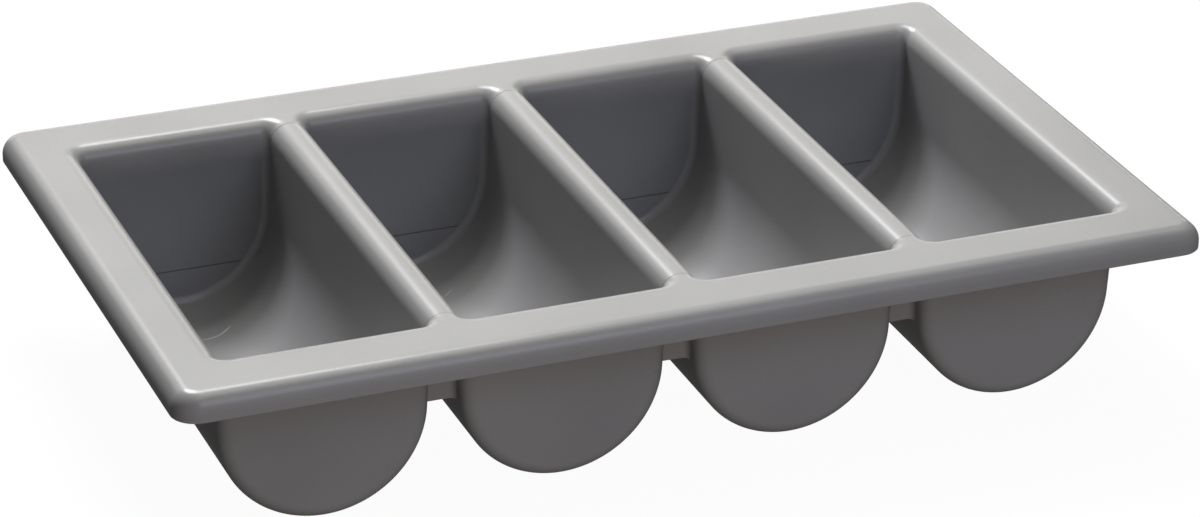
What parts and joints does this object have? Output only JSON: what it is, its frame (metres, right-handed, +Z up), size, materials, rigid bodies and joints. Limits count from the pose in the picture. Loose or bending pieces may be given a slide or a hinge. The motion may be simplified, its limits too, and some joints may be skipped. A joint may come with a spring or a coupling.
{
  "type": "cutlery box",
  "caption": "Open counter-frame cutlery tray with long round-bottomed compartments side by side under one broad rounded rim with a short skirt.",
  "frame": {"origin": "under the tray's centre, at the level of the trough bottoms", "axes": "+X along the length, across the compartments; +Y along the compartments, with the front at -Y; +Z up"},
  "size_m": [0.53, 0.325, 0.097],
  "materials": {
    "grey_plastic": "satin, fine moulded texture"
  },
  "bodies": {
    "root": {"rail_front": "grey_plastic", "rail_back": "grey_plastic", "rail_left": "grey_plastic", "rail_right": "grey_plastic", "divider_left": "grey_plastic", "divider_middle": "grey_plastic", "divider_right": "grey_plastic", "trough_1": "grey_plastic", "trough_2": "grey_plastic", "trough_3": "grey_plastic", "trough_4": "grey_plastic", "end_front_1": "grey_plastic", "end_front_2": "grey_plastic", "end_front_3": "grey_plastic", "end_front_4": "grey_plastic", "end_back_1": "grey_plastic", "end_back_2": "grey_plastic", "end_back_3": "grey_plastic", "end_back_4": "grey_plastic", "web_front_1": "grey_plastic", "web_front_2": "grey_plastic", "web_front_3": "grey_plastic", "web_back_1": "grey_plastic", "web_back_2": "grey_plastic", "web_back_3": "grey_plastic"}
  },
  "joints": []
}
